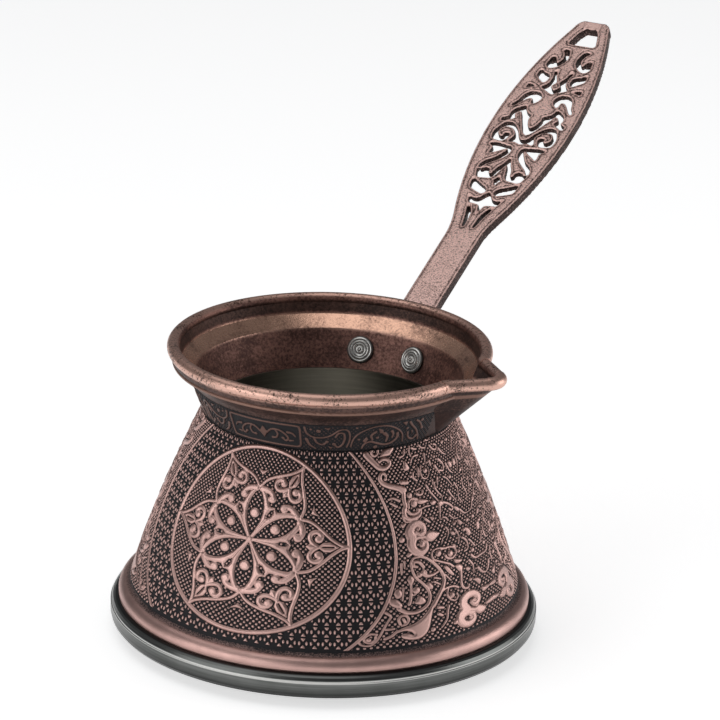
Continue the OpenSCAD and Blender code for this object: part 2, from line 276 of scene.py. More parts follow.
# %% [markdown]
# ## A sheet to draw relief on
# The ornament is stamped into the copper with dies. Rather than carve it face by face, it is drawn
# once on a flat sheet that wraps round the pot: x is the way round, u the way up the slope. The
# sheet stores, at each of its points, the distance to the nearest drawn line. A line is then
# raised wherever that distance is small, and the little dots of the ground stop short of it.

# %% Make the drawing sheet


class Sheet:
    """A grid of distances to what is drawn; x wraps round after `width`, u runs up to `height`."""

    def __init__(self, width, height, cols, rows):
        self.width, self.cols, self.rows = width, cols, rows
        self.dx, self.du = width / cols, height / (rows - 1)
        self.far = np.full((rows, cols), 9.0, np.float32)

    def grid(self):
        return np.meshgrid(np.arange(self.cols) * self.dx, np.arange(self.rows) * self.du)

    def draw(self, low, high, distance):
        """Keeps the smaller distance inside the box from low to high, widened by a margin."""
        margin = 1.2
        c = np.arange(int((low[0] - margin) / self.dx), int((high[0] + margin) / self.dx) + 1)
        r = np.arange(max(int((low[1] - margin) / self.du), 0),
                      min(int((high[1] + margin) / self.du) + 1, self.rows))
        if len(r) and len(c):
            x, u = np.meshgrid(c * self.dx, r * self.du)
            at = np.ix_(r, c % self.cols)
            self.far[at] = np.minimum(self.far[at], distance(x, u))

    def line(self, points, w0, w1=None, ball=0.0):
        """A smooth line through the points, half width w0 to w1, with a ball at its end.
        Distance: to the nearest of its straight pieces, less the half width there."""
        p = smooth(np.array(points, float))
        w = np.linspace(w0, w0 if w1 is None else w1, len(p))

        def distance(x, u):
            best = np.full(x.shape, 9.0)
            for a, b, wa, wb in zip(p[:-1], p[1:], w[:-1], w[1:]):
                d = b - a
                t = ((x - a[0]) * d[0] + (u - a[1]) * d[1]) / max(d @ d, 1e-9)
                t = np.clip(t, 0, 1)
                gap = np.hypot(x - a[0] - t * d[0], u - a[1] - t * d[1]) - wa - t * (wb - wa)
                best = np.minimum(best, gap)
            return np.minimum(best, np.hypot(x - p[-1, 0], u - p[-1, 1]) - ball) if ball else best

        self.draw(p.min(0), p.max(0), distance)

    def cut(self, points, w):
        """A dark slot of half width w along a line: keeps the larger of what is there and w less
        the distance to the line."""
        p = np.array(points, float)
        c = np.arange(int((p[:, 0].min() - 1) / self.dx), int((p[:, 0].max() + 1) / self.dx) + 1)
        r = np.arange(int((p[:, 1].min() - 1) / self.du), int((p[:, 1].max() + 1) / self.du) + 1)
        x, u = np.meshgrid(c * self.dx, r * self.du)
        best = np.full(x.shape, 9.0)
        for a, b in zip(p[:-1], p[1:]):
            d = b - a
            t = np.clip(((x - a[0]) * d[0] + (u - a[1]) * d[1]) / (d @ d), 0, 1)
            best = np.minimum(best, np.hypot(x - a[0] - t * d[0], u - a[1] - t * d[1]))
        at = np.ix_(r, c % self.cols)
        self.far[at] = np.maximum(self.far[at], w - best)

    def disc(self, centre, radius):
        """A round ball. Distance: to its centre, less the radius."""
        c = np.array(centre, float)
        self.draw(c - radius, c + radius, lambda x, u: np.hypot(x - c[0], u - c[1]) - radius)

    def patch(self, points):
        """A filled outline. Distance: to its nearest side, and minus that inside."""
        p = np.array(points, float)
        q = np.roll(p, -1, 0)

        def distance(x, u):
            best, inside = np.full(x.shape, 9.0), np.zeros(x.shape, bool)
            for a, b in zip(p, q):
                d = b - a
                t = np.clip(((x - a[0]) * d[0] + (u - a[1]) * d[1]) / max(d @ d, 1e-9), 0, 1)
                best = np.minimum(best, np.hypot(x - a[0] - t * d[0], u - a[1] - t * d[1]))
                if a[1] != b[1]:
                    crosses = (a[1] > u) != (b[1] > u)
                    inside ^= crosses & (x < a[0] + (u - a[1]) / (b[1] - a[1]) * d[0])
            return np.where(inside, -best, best)

        self.draw(p.min(0), p.max(0), distance)


def smooth(p, rounds=2):
    """Puts a point between each two: nine parts of both neighbours, less one of the next out."""
    for _ in range(rounds if len(p) > 2 else 0):
        e = np.vstack([2 * p[0] - p[1], p, 2 * p[-1] - p[-2]])
        m = (9 * (e[1:-2] + e[2:-1]) - e[:-3] - e[3:]) / 16
        out = np.empty((len(p) + len(m), 2))
        out[0::2], out[1::2] = p, m
        p = out
    return p


def ramp(value, low, high):
    """0 below low, 1 above high, smooth between: t squared times 3 less 2 t."""
    t = np.clip((value - low) / (high - low), 0, 1)
    return t * t * (3 - 2 * t)


def arc(centre, radius, start, end, n=9):
    """Points on a circle from one angle to another, in degrees."""
    a = np.radians(np.linspace(start, end, n))
    return np.stack([centre[0] + radius * np.cos(a), centre[1] + radius * np.sin(a)], -1)


print("a ramp from 0 to 1:", ramp(np.array([0, 0.25, 0.5, 1.0]), 0, 1))

# %% [markdown]
# ## The medallion
# A star in a ring fills most of the front and back of the body. Everything in it repeats six
# times, so each piece is drawn once in a local frame, out from the centre, and then turned.

# %% Draw the medallion
# the sheet's height up the slope and its way round, in mm, and the mm in one degree
TALL, AROUND = 52.46, 246.8
STEP = AROUND / 360
body_sheet = Sheet(AROUND, TALL, 2016, 340)
MED_U, MED_R = 27.3, 24.75
FRONT, BACK = -88.7, 91.3


def medallion(sheet, middle_deg):
    """A ring, six ogee petals with a lily in each, and a rosette of six pointed ovals."""
    centre = np.array([middle_deg * STEP, MED_U])

    def put(points, turn):
        c, s = np.cos(np.radians(turn)), np.sin(np.radians(turn))
        p = np.array(points, float) * MED_R
        return p @ np.array([[c, s], [-s, c]]) + centre

    def both(points):
        return [np.array(points, float), np.array(points, float) * [1, -1]]

    sheet.line(put(arc((0, 0), 0.985, 0, 360, 73), 0), 0.54)
    sheet.line(put(arc((0, 0), 1.435, 0, 360, 97), 0), 0.36)
    sheet.disc(centre, 0.95)
    for k in range(6):
        a, b = 60 * k, 60 * k + 30
        for p in both([(0.975, 0), (0.905, 0.02), (0.807, 0.088), (0.728, 0.165), (0.643, 0.236),
                       (0.576, 0.268), (0.500, 0.280)]):
            sheet.line(put(p, a), 0.42)
        # lily: two curled leaves, a stem and a bud split in two
        for p in both([(0.676, 0.004), (0.632, 0.036), (0.600, 0.084), (0.608, 0.132),
                       (0.650, 0.158), (0.696, 0.142), (0.712, 0.104), (0.688, 0.082)]):
            sheet.line(put(p, a), 0.52, 0.66, 0.98)
        sheet.patch(put([(0.560, 0), (0.60, 0.034), (0.655, 0.014), (0.70, 0), (0.655, -0.014),
                         (0.60, -0.034)], a))
        sheet.patch(put([(0.675, 0), (0.735, 0.050), (0.80, 0.052), (0.885, 0), (0.80, -0.052),
                         (0.735, -0.050)], a))
        sheet.cut(put([(0.725, 0), (0.78, 0), (0.835, 0)], a), 0.17)
        for p in both([(0.546, 0.156), (0.572, 0.138), (0.576, 0.174)]):
            sheet.patch(put(p, a))
        # ball of the pointed oval, and the small triangle beyond the petals' valley
        sheet.disc(put([(0.285, 0)], b)[0], 1.32)
        sheet.patch(put([(0.69, 0), (0.76, 0.07), (0.742, 0.02), (0.742, -0.02), (0.76, -0.07)], b))
        # the copper between two ovals, its leaf-shaped slot and its curls
        for p in both([(0, -0.004), (0, 0.016), (0.094, 0.022), (0.217, 0.040), (0.296, 0.068),
                       (0.362, 0.108), (0.414, 0.158), (0.449, 0.210), (0.486, 0.276),
                       (0.505, 0.222), (0.484, 0.160), (0.452, 0.116), (0.428, 0.086),
                       (0.404, 0.052), (0.412, 0.024), (0.428, -0.004)]):
            sheet.patch(put(p, a))
        for p in both([(0.490, 0.246), (0.514, 0.196), (0.524, 0.145), (0.512, 0.100),
                       (0.482, 0.084)]):
            sheet.line(put(p, a), 0.86, 0.66, 1.14)
        sheet.cut(put([(0.285, 0), (0.330, 0), (0.400, 0)], a), 0.12)
        sheet.cut(put([(0.318, 0), (0.345, 0), (0.366, 0)], a), 0.52)


for place in (FRONT, BACK):
    medallion(body_sheet, place)
print("medallions drawn, share of sheet raised:", float((body_sheet.far < 0).mean()))

# %% [markdown]
# ## The flower panels
# Between the medallions, under the spout and opposite it, runs an arabesque: curled lilies, drops,
# tendrils and buds on the dotted ground. Half a panel is drawn from a list and mirrored.

# %% Draw the flower panels
# lines: points in degrees from the panel's middle and mm up, then half widths, then an end ball
vines = [
    ([(-44.6, 51.2), (-42.9, 49.9), (-41, 48.6), (-39.3, 47.5), (-36.6, 47.2), (-34.4, 48.1),
      (-34.7, 49.2), (-37.1, 49.6), (-38.8, 49.1)], 0.9, 0.4, 0.5),
    ([(-38.8, 52.4), (-39.3, 51.2), (-41, 50.7), (-42.1, 51.4), (-41.7, 52.2)], 0.35, 0.35,
      0.45),
    ([(-29.9, 40.7), (-32.7, 41.6), (-36.1, 42.4), (-38.6, 43.3), (-39.6, 44.4), (-39.1,
      45.6), (-37.8, 45.9), (-36.8, 45.1), (-37.3, 44.3)], 0.85, 0.26, 0.45),
    ([(-30.4, 42.8), (-27.8, 42.5)], 0.62, 0.55, 0),
    ([(-24.5, 40), (-22, 40.3)], 0.3, 0.25, 0),
    ([(-24.5, 39.1), (-23.5, 38.6), (-22, 38.7), (-21.4, 39.5)], 0.35, 0.35, 0),
    ([(-37.1, 38.9), (-35.2, 39.1), (-32.7, 38.1)], 0.28, 0.35, 0),
    ([(-36.6, 37.9), (-34.2, 36.8)], 0.3, 0.35, 0),
    ([(-30.3, 40.1), (-30.7, 38.4), (-30.5, 36.7), (-31.3, 35.1)], 0.5, 0.55, 0),
    ([(-31.3, 35.7), (-31.5, 34.2), (-30.3, 33.1), (-27.9, 32.9), (-25.4, 33.3), (-24.4,
      34.4), (-25.4, 34.9)], 0.6, 0.45, 0.5),
    ([(-30, 35.2), (-28.8, 34.2), (-26.4, 34.1), (-24.6, 34.8)], 0.45, 0.4, 0),
    ([(-29.2, 35.9), (-29.1, 37.2), (-27.4, 38.1), (-25.2, 37.7)], 0.35, 0.4, 0),
    ([(-32.3, 34.2), (-32, 32.7), (-30.3, 32.2), (-27.4, 32.1)], 0.25, 0.2, 0),
    ([(-24, 34.9), (-21.8, 35.2), (-19.6, 35.1)], 0.25, 0.2, 0),
    ([(-30, 27.7), (-30.8, 29.4), (-29.3, 30.9), (-26.9, 31.5), (-24.8, 30.4), (-24.9, 28.9),
      (-26.8, 28.5), (-28.4, 29.2)], 1.35, 0.5, 0.55),
    ([(-30, 27.7), (-30.8, 26.1), (-29.8, 24.4), (-27.4, 23.7), (-25.2, 24.5), (-24.8, 25.9),
      (-26.2, 26.6)], 1.35, 0.5, 0.5),
    ([(-28.8, 27.7), (-26.9, 27.7), (-24.5, 27.5)], 0.6, 0.45, 0),
    ([(-16.7, 22.9), (-19.1, 23.5), (-21.8, 23.6), (-23.4, 22.7), (-23.1, 21.2), (-21.3,
      20.4), (-19.1, 19.6), (-16.7, 18.7), (-15.3, 17.7)], 0.32, 0.4, 0),
    ([(-19.1, 23.1), (-15.7, 23.1), (-12.9, 22.4), (-13, 20.8), (-15.1, 20), (-17.1, 20.4),
      (-17.8, 21.3)], 0.35, 0.45, 0.4),
    ([(-32, 21.6), (-30.8, 22.6), (-28.3, 22.7), (-25.9, 22), (-23.5, 20.4), (-21.5, 18.4),
      (-20.4, 16.4), (-20.6, 14.7), (-21.9, 13), (-24, 11.2), (-26.2, 9.3)], 0.26, 0.6, 0),
    ([(-32.1, 21.4), (-31.8, 19.1), (-30.9, 17.4), (-29.2, 16), (-27.9, 14.7), (-27, 13.2),
      (-27, 11.6), (-28.1, 10), (-30.5, 8.9), (-33.3, 8.5), (-36.1, 9), (-38.2, 10.1)], 0.28, 0.5,
      0),
    ([(-27.5, 19.8), (-28.8, 21.2), (-30.7, 21.6), (-31.3, 20.7), (-30, 20.2)], 0.4, 0.35,
      0.35),
    ([(-28.2, 18.3), (-26.9, 17.4), (-24.5, 17.3), (-22.3, 17.7)], 0.6, 0.3, 0),
    ([(-27.8, 19.1), (-26.9, 18.4), (-27.3, 17.6)], 0.25, 0.25, 0),
    ([(-33.1, 15.9), (-33.4, 14.1), (-33.9, 12.1), (-34.6, 10.9)], 0.25, 0.38, 0),
    ([(-35.9, 15.4), (-36.2, 14.1), (-36.7, 12.2)], 0.24, 0.18, 0),
    ([(-35.6, 21.7), (-35.8, 20.4), (-35.9, 19.1)], 0.3, 0.2, 0),
    ([(-34.4, 22.2), (-34.6, 20.4)], 0.28, 0.16, 0),
    ([(-33.7, 13.5), (-32.4, 13.1), (-31, 14.1)], 0.24, 0.24, 0),
    ([(-19.6, 16.4), (-17.6, 14.4)], 0.28, 0.2, 0),
    ([(-24, 16.4), (-21.8, 15.7)], 0.26, 0.2, 0),
    ([(-24.5, 15.4), (-22.3, 14.3)], 0.26, 0.2, 0),
    ([(-12.5, 16.1), (-13, 14.4), (-13.5, 12.7), (-12.8, 11.3), (-11.1, 10.9), (-10.2, 11.6)],
      0.65, 0.34, 0.42),
    ([(-22.5, 12.2), (-20.1, 12.9), (-16.9, 12.7), (-15.2, 12)], 0.3, 0.3, 0),
    ([(-19.6, 12.5), (-20.3, 11.2), (-19.4, 9.7), (-17.6, 9), (-16.2, 9.7), (-16.3, 10.7)],
      0.36, 0.3, 0.35),
    ([(-13.5, 5.3), (-14.6, 7), (-14, 8.3), (-11.8, 9.1), (-8.9, 8.9), (-7.2, 7.7), (-7.9,
      6.5), (-9.9, 6.2), (-10.8, 7)], 1.4, 0.55, 0.6),
    ([(-13.5, 5.3), (-16.1, 4.7), (-17.1, 3.4), (-15.7, 2.1), (-13.3, 1.8), (-11.2, 2.7),
      (-11.3, 3.9), (-12.8, 4.2)], 1.4, 0.55, 0.6),
    ([(-12.8, 5.3), (-10.6, 4.7), (-8.9, 4.4)], 0.8, 0.6, 0),
    ([(-24.5, 8.5), (-22.8, 8.1)], 0.42, 0.36, 0),
    ([(-24.9, 6.8), (-23.6, 6.2)], 0.4, 0.34, 0),
    ([(-20.6, 8.1), (-21.4, 6.7), (-22.1, 4.9), (-24.5, 3.1)], 0.38, 0.2, 0),
    ([(-45.8, 4.1), (-47.5, 4.3), (-49.2, 3.7), (-49.7, 2.7), (-48.2, 2), (-46.5, 2.6),
      (-46.1, 3.6)], 0.28, 0.26, 0),
    ([(-51.2, 2.4), (-50.5, 1.6), (-48, 1.3), (-45.7, 2.7), (-44.3, 4.4), (-42.5, 6.7), (-41,
      8.2)], 0.24, 0.26, 0),
    ([(-43.4, 2.7), (-41.2, 3.3), (-39.4, 4.4)], 0.36, 0.3, 0),
    ([(-42.8, 5.1), (-40.4, 5.1)], 0.32, 0.26, 0),
    ([(-42.5, 9.5), (-41.2, 8.7)], 0.34, 0.3, 0),
    ([(-38.3, 6.1), (-38.6, 7.4), (-37.5, 8.2), (-36, 8), (-35.4, 6.9), (-36.3, 5.9), (-37.7,
      5.7)], 0.3, 0.3, 0),
    ([(-37.1, 7.3), (-36.6, 6.4)], 0.32, 0.3, 0),
    ([(-19.2, 46), (-20.3, 44.4), (-19.6, 42.6), (-17.4, 42.4), (-15.7, 43.7), (-15.9, 45.2)],
      0.38, 0.16, 0),
    ([(-15.8, 48.7), (-16.1, 47.4), (-16.7, 46.1)], 0.56, 0.16, 0),
    ([(-22.9, 51.7), (-23.7, 50.4), (-23.4, 49.1)], 0.32, 0.24, 0),
    ([(-21.9, 51.1), (-20.8, 50.7), (-19.5, 50.5)], 0.3, 0.26, 0),
    ([(-14, 46.5), (-13.7, 45)], 0.63, 0.16, 0),
    ([(-11.6, 44.8), (-10.7, 43.7), (-9.8, 42.3)], 0.63, 0.16, 0),
    ([(-12.1, 41.5), (-12.8, 40.7), (-13, 39.5)], 0.63, 0.16, 0),
    ([(-15.1, 41.5), (-15.6, 40.3)], 0.41, 0.16, 0),
    ([(-19.1, 40.7), (-17.7, 38.5), (-15.8, 36.5), (-14.4, 35)], 0.45, 0.16, 0),
    ([(-14.7, 40.7), (-14.8, 39), (-13.4, 37.4), (-12.4, 36.3), (-13.6, 34.8)], 0.45, 0.16,
      0),
    ([(-15, 34.4), (-15.6, 32.7), (-16.4, 30.7)], 0.68, 0.16, 0),
    ([(-12.5, 34.8), (-10, 33.9), (-8.4, 32.7), (-9.4, 32), (-10.5, 32.7)], 0.5, 0.32, 0.4),
    ([(-8.1, 37.5), (-7, 35.7), (-4.9, 33.7)], 0.41, 0.16, 0),
    ([(-14.8, 31.1), (-13.3, 30.7), (-12.6, 29.9)], 0.3, 0.3, 0.35),
    ([(-18.2, 24.7), (-17.3, 25.7), (-15.6, 26.1)], 0.27, 0.16, 0),
    ([(-4.6, 22.8), (-3.5, 21.9), (-2, 20.3)], 0.4, 0.3, 0),
    ([(-11.3, 50.4), (-9.9, 49.1), (-7.9, 48.7), (-7, 49.7), (-8.4, 50.2)], 0.4, 0.35, 0.4),
    ([(-6, 48.7), (-4.5, 47.1), (-2.1, 46.1)], 0.45, 0.16, 0),
    ([(-8.4, 46.1), (-6.5, 44.4), (-7.4, 42.7), (-9.4, 43.1)], 0.45, 0.35, 0.4),
    ([(-4.5, 44.1), (-3.6, 42.1), (-1.6, 40.7)], 0.5, 0.16, 0),
    ([(-8.4, 41.1), (-6.5, 40.1), (-4.5, 37.7)], 0.36, 0.16, 0),
    ([(-3.1, 38.4), (-2.1, 36.4), (-3.1, 34.4), (-1.6, 32.4)], 0.36, 0.16, 0),
    ([(-11.3, 31.1), (-9.4, 29.7), (-7, 29.4)], 0.27, 0.16, 0),
    ([(-4.5, 31.1), (-2.6, 29.7), (-0.1, 29.4)], 0.45, 0.16, 0),
    ([(-10.4, 27.1), (-9.4, 25.1), (-10.4, 23.1)], 0.35, 0.3, 0.4),
    ([(-7.9, 24.1), (-6, 22.7), (-6.5, 20.7), (-8.4, 20.4)], 0.4, 0.32, 0.42),
    ([(-5.5, 18.7), (-3.6, 17.4), (-0.1, 17.4)], 0.5, 0.45, 0),
    ([(-7.4, 17.7), (-6, 16.1), (-6.5, 14.1)], 0.4, 0.3, 0),
    ([(-3.6, 14.7), (-2.1, 13.1), (-0.1, 12.4)], 0.6, 0.35, 0),
    ([(-14.7, 28.4), (-13.8, 27.1), (-15.2, 25.4)], 0.36, 0.16, 0),
    ([(-25.9, 51.1), (-26.9, 49.7), (-28.8, 49.4)], 0.3, 0.3, 0.4),
    ([(-17.6, 51.4), (-16.2, 50.4), (-14.2, 50.1)], 0.35, 0.3, 0.4),
    ([(-12.8, 52.1), (-11.3, 51.7), (-9.4, 52.2)], 0.36, 0.16, 0),
    ([(-24, 44.7), (-24.5, 43.4), (-23, 42.4)], 0.3, 0.28, 0),
    ([(-24, 47.4), (-22.5, 48.7), (-19.6, 48.9)], 0.3, 0.3, 0.4),
]
drops = [
    [(-38.3, 50.2), (-36.6, 50.3), (-33.7, 50.4), (-31.5, 51.6), (-31.5, 52.5), (-35.2, 52.2),
     (-37.1, 51.5)],
    [(-27.6, 48.2), (-26.8, 48.1), (-25.7, 46.9), (-25.3, 45.9), (-26.4, 45.6), (-27.9, 45.7),
     (-28.2, 46.4), (-27.9, 47.2)],
    [(-34.2, 42.2), (-32.2, 42.1), (-29.8, 41.1), (-29.3, 40.7), (-30.7, 39.6), (-31.5, 40.1),
     (-33.2, 41.2)],
    [(-25.2, 37.7), (-23, 37.5), (-19.6, 36.5), (-22, 36.1), (-24, 36.2), (-24.9, 36.7)],
    [(-33.9, 32), (-31.5, 32), (-33, 30.9)],
    [(-23.9, 32.8), (-22.5, 32.2), (-20.8, 30.7), (-22.3, 31.1), (-23.5, 31.9)],
    [(-21.1, 32.4), (-19.1, 31.8), (-20, 31.1)],
    [(-31.5, 28.6), (-30.3, 29.1), (-28.8, 28.3), (-27.9, 27.7), (-28.8, 27.2), (-30, 26.5),
     (-31.5, 27)],
    [(-25.3, 27.6), (-24, 28.5), (-22, 28.7), (-19.6, 28.1), (-18.1, 27.4), (-19.6, 26.6), (-22,
     25.9), (-24, 26.3)],
    [(-33.4, 23.7), (-32.2, 24.3), (-31, 23.7), (-32.7, 23.1)],
    [(-40.9, 12.9), (-38.6, 12.6), (-37, 11.1), (-37.6, 10.3), (-39.3, 10.6), (-41, 11.6)],
    [(-24, 11.3), (-26.2, 8.9), (-27.6, 6.4), (-28.7, 4.1), (-30.3, 2.4), (-32.7, 1.5), (-35.6,
     1.6), (-38, 2.4), (-38.1, 3.3), (-36.1, 3.4), (-34.3, 2.7), (-34.7, 3.5), (-37, 4.2), (-39.4,
     3.9), (-39.4, 4.4), (-37.1, 5.1), (-33.7, 5.7), (-30.8, 6.8), (-28.2, 8.5), (-26.2, 10.2)],
    [(-27.6, 15.3), (-26.4, 15.6), (-25.2, 14.4), (-25.7, 13.6), (-27.1, 14.1)],
    [(-32.7, 10.9), (-31.7, 12.1), (-30.7, 12.6), (-29.3, 11.9), (-28.8, 10.7), (-30.8, 10.3)],
    [(-34.2, 17.3), (-33.4, 18.2), (-32.5, 18.1), (-31.7, 17.2), (-32.2, 16.4), (-33.1, 15.7),
     (-33.7, 16.2)],
    [(-39.3, 14.1), (-38.6, 15.1), (-37.3, 15.2), (-36.6, 14.1), (-37.1, 13.1), (-38.6, 12.9)],
    [(-19.6, 18.7), (-18.1, 18.4), (-16.7, 17.1), (-15.7, 15.5), (-17.2, 15.9), (-18.7, 17.3)],
    [(-14.8, 17.7), (-13, 17.9), (-11.2, 17.1), (-12.1, 15.6), (-13, 15.7), (-14, 16.8)],
    [(-14.7, 19.6), (-12.3, 19.2), (-10.6, 18.6), (-11.8, 18.1), (-14, 18.4)],
    [(-10.1, 16.2), (-8.4, 16.2), (-7.9, 15.2), (-9.4, 15.1)],
    [(-7.9, 12.4), (-5.5, 12.4), (-3.8, 11.4), (-5, 10.3), (-6.2, 11.4)],
    [(-10.6, 5.2), (-7.9, 5.6), (-5.5, 4.7), (-4.5, 4.1), (-6, 3.1), (-8.4, 3), (-9.9, 3.9)],
    [(-4.5, 9.4), (-0.6, 9.1), (-0.1, 8.4), (-4, 8)],
    [(-4.3, 5.2), (-0.1, 5.7), (-0.1, 4.4), (-4, 4.4)],
    [(-21.8, 45.2), (-21.1, 46.1), (-20.6, 45.1), (-21.2, 43.4), (-22, 43.2)],
    [(-15.8, 35), (-14.2, 35.7), (-12.1, 34.7), (-14.2, 34)],
    [(-19.1, 36), (-17.6, 36.4), (-16.1, 35.6), (-17.2, 35), (-18.7, 35.2)],
    [(-7.9, 29.1), (-6.5, 28.7), (-5.3, 27.5), (-7.1, 27.4)],
    [(-5.1, 26.1), (-3, 25.7), (-2.3, 24), (-4.1, 23.7)],
    [(-13, 26.7), (-11.8, 26.7), (-10.7, 25.5), (-12.4, 25.7)],
    [(-29.3, 40.4), (-30.8, 39.6), (-31.4, 37.7), (-30.5, 36.7), (-29.8, 38.4)],
    [(-13.9, 23.5), (-12.1, 23.2), (-12.8, 22.2)],
    [(-3.1, 44.1), (-1.1, 44.4), (-0.6, 42.7), (-2.1, 42.4)],
    [(-7.9, 32.7), (-6, 32.4), (-4.5, 31.1), (-6.5, 31.1)],
]
balls = [
    (-27.9, 39.1, 0.8), (-26.6, 36.7, 1), (-26.6, 25.7, 0.75), (-34.2, 27.9, 0.75), (-20.6, 22.3,
    0.85), (-15.4, 21.3, 0.85), (-29.6, 18, 0.7), (-31.5, 14.2, 0.9), (-18.4, 10.6, 0.75), (-27.6,
    3.1, 0.6), (-19.1, 3.3, 0.6), (-48.3, 2.8, 0.5), (-17.6, 44.4, 0.75), (-26.9, 29.9, 0.5),
    (-25.4, 43.8, 0.4), (-9.4, 7.3, 0.55), (-12.8, 3.2, 0.5), (-8.4, 35.1, 0.6), (-5.7, 25.7,
    0.5), (-11.3, 21.1, 0.5), (-4, 19.7, 0.6), (-9.9, 28.4, 0.5), (-16.2, 29.1, 0.4), (-4.5, 40.4,
    0.6), (-10.4, 47.1, 0.5), (-2.1, 49.7, 0.6), (-11.3, 39.1, 0.4), (-14.2, 10.7, 0.4), (-2.1,
    27.7, 0.6), (-23, 46.1, 0.4), (-8.9, 12.7, 0.5),
]


FINER = 0.72


def flower_panel(sheet, middle_deg):
    """Draws every line, drop and ball of half a panel, then the same on the other side. Lines
    that start near the panel's middle are drawn finer."""
    for side in (-1, 1):
        def put(points):
            p = np.array(points, float)
            return np.stack([(middle_deg - side * p[:, 0]) * STEP, p[:, 1]], -1)

        for points, w0, w1, ball in vines:
            fine = FINER if points[0][0] > -21 and points[0][1] > 10 else 1.0
            sheet.line(put(points), w0 * fine, w1 * fine, ball * fine)
        for points in drops:
            p = put(points)
            q = np.vstack([p, p[:1]])
            sheet.patch(smooth(q)[:-1])
        for x, u, radius in balls:
            sheet.disc(put([(x, u)])[0], radius)


for place in (0, 180):
    flower_panel(body_sheet, place)
print("panels drawn, share of sheet raised:", float((body_sheet.far < 0).mean()))

# %% [markdown]
# ## The ground and the stamped body
# Three grounds fill the space between the lines: small dots in the medallion and the panels, and
# six-petalled stars in the zone between the medallion's ring and the outer arc. A dot is where a
# product of two cosines is high. Then the sheet is wrapped: each point moves out from the cone
# by its height. The same heights are kept as an attribute, which later tells the finish what is
# rubbed bright and what stays dark.

# %% Fill the ground
x, u = body_sheet.grid()
around_med = np.abs((x / STEP - FRONT + 90) % 180 - 90) * STEP
spread = np.hypot(around_med, u - MED_U) / MED_R
dots = np.cos(2 * np.pi * x / (AROUND / 185)) * np.cos(2 * np.pi * u / 1.40)
dots = ramp(dots, 0.02, 0.46)


def stars(x, u, across=AROUND / 106, tall=3.1):
    """Two drops back to back on each lattice point and two slivers between the points.
    Each is high where the folded distances to the nearest point lie inside a wedge or an oval."""
    x = np.abs(((x + 34.54) / across + 0.5) % 1 - 0.5) * across
    u = np.abs(((u - 0.45) / tall + 0.5) % 1 - 0.5) * tall
    drop = ramp(0.47 - 0.5 * (u - 0.33) - x, -0.10, 0.12) * ramp(u, 0.16, 0.36)
    drop *= ramp(-u, -1.16, -0.96)
    oval = np.hypot((x - across / 2 + 0.44) / 0.25, (u - tall / 2) / 0.62)
    return np.maximum(drop, ramp(-oval, -1.15, -0.6))


in_stars = ramp(spread, 0.99, 1.0) * ramp(-spread, -1.44, -1.42)
ground = dots * (1 - in_stars) + stars(x, u) * in_stars
ground *= ramp(body_sheet.far, 0.10, 0.34)
line = ramp(-body_sheet.far, -0.16, 0.12)
domed = line * (0.62 + 0.38 * ramp(-body_sheet.far, 0.0, 0.6))
edge = ramp(u, 0.1, 0.5) * ramp(-u, -TALL + 0.05, -TALL + 0.3)
lift = np.maximum(domed, 0.66 * ground) * edge
shine = np.maximum(line, 0.95 * ground) * edge
print("height field:", lift.shape, "mean lift", round(float(lift.mean()), 3))

# %% [markdown]
# The wall has a folded lip at its foot, so the sheet's rows are lengthened into one closed
# outline: down the inside, under the lip, round it and up the slope. The wall is cut in eight
# sectors, each with a flat cap at both ends, because one mesh with this much detail is too heavy.

# %% Wrap the sheet round the cone


FOOT_Z, NECK_Z, FOOT_R, NECK_R, BOW = 14.4, 62.25, 51.95, 33.3, 0.9
SECTORS = 8


def cone(z):
    """Radius of the body at a height, in mm: a straight taper with a slight outward bow."""
    f = (z - FOOT_Z) / (NECK_Z - FOOT_Z)
    return FOOT_R + (NECK_R - FOOT_R) * f + BOW * np.sin(np.pi * f)


heights = np.linspace(14.0, NECK_Z, 800)
radii = cone(heights)
along = np.concatenate([[0], np.cumsum(np.hypot(np.diff(heights), np.diff(radii)))])
rows = np.arange(body_sheet.rows) * body_sheet.du * along[-1] / TALL
slope_z = np.interp(rows, along, heights)
slope_r = cone(slope_z)
inner = np.array([(z, cone(z) - 0.95) for z in np.linspace(62.2, 15.5, 5)])
lip = np.array([(12.9, 51.3), (9.6, 53.7), (9.3, 54.2), (9.3, 55.3)])
bend = arc((52.8, 10.4), 2.55, -14, 84, 14)[:, ::-1]
root = np.array([(13.25, 52.45), (13.6, 52.2)])
lower = np.vstack([inner, lip, bend, root])
profile = np.vstack([lower, np.stack([slope_z, slope_r], -1)])


def outward(profile):
    """The unit normal of an outline of (z, r) pairs: its direction turned by a right angle."""
    d = np.gradient(profile, axis=0)
    return np.stack([-d[:, 1], d[:, 0]], -1) / np.hypot(d[:, 0], d[:, 1])[:, None]


def revolve(profile, lift, angles):
    """Points of an outline turned to each angle and moved out along its normal by the lift."""
    n = outward(profile)
    z = profile[:, :1] + n[:, :1] * lift
    r = profile[:, 1:] + n[:, 1:] * lift
    return np.stack([r * np.cos(angles), r * np.sin(angles), z], -1) * MM


def tube(name, points, relief):
    """A surface whose rows close on themselves, with a flat cap at both ends of its columns."""
    points = np.concatenate([points, points[:1]])
    relief = np.concatenate([relief, relief[:1]])
    made = surface(name, points, {"relief": relief})
    mesh = bmesh.new()
    mesh.from_mesh(made.data)
    mesh.verts.ensure_lookup_table()
    rows, cols = points.shape[:2]
    for ring in (range(0, (rows - 1) * cols, cols), range((rows - 1) * cols - 1, 0, -cols)):
        face = mesh.faces.new([mesh.verts[i] for i in ring])
        face.smooth = False
        for side in face.edges:
            side.smooth = False
    bmesh.ops.remove_doubles(mesh, verts=mesh.verts, dist=1e-7)
    mesh.to_mesh(made.data)
    mesh.free()
    return made


full = np.concatenate([np.zeros((len(lower), body_sheet.cols)), lift * 0.55 - 0.1])
full[len(lower) - len(root):len(lower)] = -0.03
